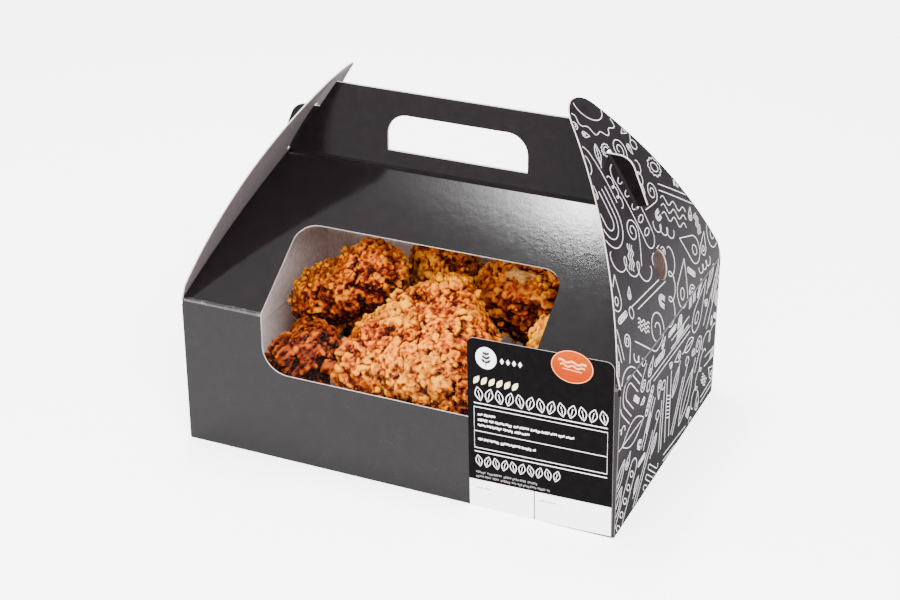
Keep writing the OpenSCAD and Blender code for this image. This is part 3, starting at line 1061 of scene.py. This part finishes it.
def sticker_print(bm):
    """A pale rim, two wavy strokes and a bar, all generic."""
    half_w, half_h = STICKER[2] / 2, STICKER[3] / 2
    rim = oval(0, 0, half_w - 0.25, half_h - 0.25, count=72)
    ribbon(bm, rim, on_sticker, 0.35, 0, INK_LIFT, closed=True)
    for start, end, rise, weight in ((-7.0, 7.0, 2.3, 1.1), (-6.0, 6.4, 0.2, 0.9), (-4.6, 5.0, -1.7, 0.5)):
        points = []
        for k in range(17):
            t = k / 16
            along = start + (end - start) * t
            wave = 0.55 * math.sin(t * math.tau * 2.5)
            points.append((along, rise + wave * (weight > 0.8) - 0.06 * along))
        ribbon(bm, points, on_sticker, weight, 0, INK_LIFT)


STICKER_INK = ink_material("ink_sticker", (0.72, 0.26, 0.12), 0.03)
printed("sticker_print", sticker_print, STICKER_INK, slot="sticker")
paper = Shader("sticker_orange")
fade = paper.step(paper.place()[2], 0.082, 0.096)
flecks = paper.noise(500.0, detail=3.0)
low_orange = paper.ramp(flecks, (0.3, (0.215, 0.0185, 0.0001)), (0.7, (0.255, 0.023, 0.0001)))
high_orange = paper.ramp(flecks, (0.3, (0.25, 0.034, 0.0004)), (0.7, (0.30, 0.042, 0.0005)))
paper.surface(paper.mix(fade, low_orange, high_orange), 0.32, 0.01)
paper.bump(flecks, 0.08, 0.0001)
paint(NODES["oval_sticker"], paper.mat)


# ---- doodles on the end panels
# One drawing runs from the foot of each end wall over the crease to the gable's tip:
# u across the panel, v up from the foot, in millimetres.
LINE_W = 0.42
FOOT_TO_CREASE = CREASE / MM
PANEL_HALF = HALF_D / MM - 0.8
TIP_AT = (GABLE_CHORD - GABLE_TIP_R) / MM
TIP_R = GABLE_TIP_R / MM


def arc(u, v, radius_u, radius_v, start, end, count=20):
    turns = [math.radians(start + (end - start) * k / count) for k in range(count + 1)]
    return [(u + radius_u * math.cos(t), v + radius_v * math.sin(t)) for t in turns]


def arches(size):
    """Nested arches on one foot."""
    strokes = []
    for share in (1.0, 0.68, 0.36):
        half = size * 0.42 * share
        strokes.append([(half, -size * 0.5)] + arc(0, 0, half, half * 1.15, 0, 180) + [(-half, -size * 0.5)])
    return strokes


def leaf_motif(size):
    outline = leaf(-size * 0.55, 0, size * 1.1, size * 0.46, 0, 16)
    return [outline + outline[:1], [(-size * 0.75, 0), (size * 0.42, 0)]]


def beads(size):
    """A capsule with a row of ovals inside."""
    half, r = size * 0.62, size * 0.20
    shell_line = arc(half, 0, r, r, -90, 90, 10) + arc(-half, 0, r, r, 90, 270, 10)
    strokes = [shell_line + shell_line[:1]]
    for k in range(5):
        strokes.append(arc(half * (k - 2) / 2.4, 0, size * 0.055, size * 0.11, 0, 360, 12))
    return strokes


def ladder(size):
    """Two long lines with short rungs."""
    half, gap = size * 0.8, size * 0.13
    strokes = [[(-half, gap), (half, gap)], [(-half, -gap), (half, -gap)]]
    for k in range(7):
        a = half * (k - 3) / 9
        strokes.append([(a - gap * 0.5, -gap), (a + gap * 0.5, gap)])
    return strokes


def curl(size):
    """A long tail that winds into a spiral."""
    points = [(-size * 0.9, -size * 0.34), (-size * 0.3, -size * 0.36)]
    for k in range(34):
        turn = math.radians(-100 + 19 * k)
        reach = size * 0.36 * (1 - k / 42)
        points.append((reach * math.cos(turn), reach * math.sin(turn)))
    return [points]


def serpentine(size):
    """One line folded into round-ended fingers."""
    points, step, tall = [], size * 0.17, size * 0.48
    for k in range(6):
        x = (k - 3) * step
        up = k % 2 == 0
        points.append((x, -tall if up else tall))
        points += arc(x + step / 2, tall if up else -tall, step / 2, step / 2, 180, 0 if up else 360, 8)
    return [points]


def loops(size):
    """A line that crosses itself in small loops."""
    points = []
    for k in range(70):
        t = k / 69
        points.append((size * (1.5 * t - 0.75) - size * 0.15 * math.sin(t * math.tau * 3),
                       size * 0.16 * math.cos(t * math.tau * 3)))
    return [points]


def scallop(size):
    """A frilled ring round an oval."""
    frill = oval(0, 0, size * 0.48, size * 0.62, 64, 0.09, 11)
    heart = oval(0, 0, size * 0.24, size * 0.36, 28)
    return [frill + frill[:1], heart + heart[:1]]


def ripples(size):
    strokes = []
    for k in (-1, 0, 1):
        points = []
        for j in range(25):
            t = j / 24
            points.append((size * (t - 0.5) * 1.1, size * (0.17 * k + 0.07 * math.sin(t * math.tau * 2.5))))
        strokes.append(points)
    return strokes


def drop(size):
    """A drop with a small circle in it."""
    tip = [(0, size * 0.6)]
    outline = tip + arc(0, -size * 0.12, size * 0.28, size * 0.30, 25, -205) + tip
    return [outline, arc(0, -size * 0.14, size * 0.10, size * 0.12, 0, 360, 14)]


FILLERS = (drop, scallop, arches, beads)
SMALL_MOTIFS = FILLERS + (leaf_motif, loops, ripples, curl)
MOTIFS = SMALL_MOTIFS + (loops, curl, serpentine, ladder)


def long_pair(reach):
    """Two straight lines across the sheet, joined by a loop at one end."""
    return [[(-reach, 0), (reach, 0)], [(-reach, 3.4), (reach - 6.8, 3.4)],
            arc(reach + 1.4, 2.2, 2.4, 2.8, -120, 220, 18)]


def cell(u, v):
    return int(math.floor(u / OCCUPIED_CELL)), int(math.floor(v / OCCUPIED_CELL))


OCCUPIED_CELL = 1.05
LEANS = (52, 52, 52, -38, -38, 0, 90, 180, 232)
# Passes of the drawing: how many tries, which motifs and their least and greatest size.
PASSES = ((24, (long_pair,), (16, 36)), (600, MOTIFS, (24, 33)), (1200, MOTIFS, (14, 22)),
          (2200, SMALL_MOTIFS, (9, 13)), (3400, FILLERS, (5.5, 8)))


def drawing(seed):
    """Every stroke of the sheet: long pairs of lines first, then motifs of falling size in the gaps."""
    rng = random.Random(seed)
    top = FOOT_TO_CREASE + GABLE_CHORD / MM
    taken, strokes = set(), []
    for tries, motifs, sizes in PASSES:
        for _ in range(tries):
            motif = rng.choice(motifs)(rng.uniform(*sizes))
            u, v = rng.uniform(-PANEL_HALF, PANEL_HALF), rng.uniform(0, top)
            turn = math.radians(rng.choice(LEANS) + rng.uniform(-5, 5))
            placed = [turned(stroke, u, v, turn) for stroke in motif]
            cells = {cell(a, b) for stroke in placed for a, b in resampled(stroke)}
            near = {(a + da, b + db) for a, b in cells for da in (-1, 0, 1) for db in (-1, 0, 1)}
            if near & taken:
                continue
            taken |= cells
            strokes += placed
    return strokes


def resampled(stroke, step=0.9):
    """The stroke with points at most step apart, so that it can follow a curved sheet and be cut."""
    points = []
    for (u, v), (u2, v2) in zip(stroke, stroke[1:]):
        parts = max(1, math.ceil(math.hypot(u2 - u, v2 - v) / step))
        points += [(u + (u2 - u) * k / parts, v + (v2 - v) * k / parts) for k in range(parts)]
    return points + [stroke[-1]]


def cut_to(strokes, inside):
    """The parts of the strokes that lie inside an outline."""
    kept = []
    for stroke in strokes:
        run = []
        for u, v in resampled(stroke) + [(None, None)]:
            if u is not None and inside(u, v):
                run.append((u, v))
                continue
            if len(run) > 2:
                kept.append(run)
            run = []
    return kept


def inside_wall(u, v):
    return abs(u) < PANEL_HALF and 0.8 < v < FOOT_TO_CREASE - 0.45


def inside_gable(u, v):
    """Inside the gable's outline, clear of its slit and vent."""
    r = v - FOOT_TO_CREASE
    if r < 0.55 or (r < SHOULDER / MM and abs(u) > PANEL_HALF - 0.4):
        return False
    if math.hypot(u, r - VENT[1] / MM) < VENT[0] / MM / 2 + 0.7:
        return False
    if abs(u) < SLIT[0] / MM / 2 + 0.6 and SLIT[1] / MM - 0.6 < r < SLIT[2] / MM + 0.6:
        return False
    if math.hypot(u, r - TIP_AT) < TIP_R - 0.8:
        return True
    # The straight edge runs from the shoulder to where it touches the tip's circle.
    foot = Vector((PANEL_HALF + 0.4, SHOULDER / MM))
    run = Vector((-foot.x, TIP_AT - foot.y))
    turn = math.atan2(run.y, run.x) - math.asin(TIP_R / run.length)
    touch = foot + Vector((math.cos(turn), math.sin(turn))) * math.sqrt(run.length_squared - TIP_R ** 2)
    if r > touch.y:
        return False
    edge = foot.x if r < foot.y else foot.x + (touch.x - foot.x) * (r - foot.y) / (touch.y - foot.y)
    return abs(u) < edge - 0.9


def wall_point(side):
    def place(u, v, lift):
        return Vector((side * (HALF_L + lift), u * MM, v * MM))
    return place


def gable_point(side):
    def place(u, v, lift):
        r = v * MM - CREASE
        out = math.sqrt((GABLE_BOW_R + lift) ** 2 - (r - GABLE_CHORD / 2) ** 2) - GABLE_BACK
        x = out * math.cos(GABLE_LEAN) - r * math.sin(GABLE_LEAN)
        z = out * math.sin(GABLE_LEAN) + r * math.cos(GABLE_LEAN)
        return Vector((side * (HALF_L + x), u * MM, CREASE + z))
    return place


def doodles():
    ink = ink_material("ink_doodles", (0.62, 0.60, 0.62), 0.2)
    for side, name, seed in ((1, "right", 5), (-1, "left", 11)):
        strokes = drawing(seed)
        for panel, inside, place, body in (("wall", inside_wall, wall_point(side), "tray"),
                                           ("gable", inside_gable, gable_point(side), "gable_" + name)):
            def draw(bm):
                for stroke in cut_to(strokes, inside):
                    ribbon(bm, stroke, place, LINE_W, 0, INK_LIFT)
            printed("doodles_" + panel + "_" + name, draw, ink, body, "printed_board")


doodles()
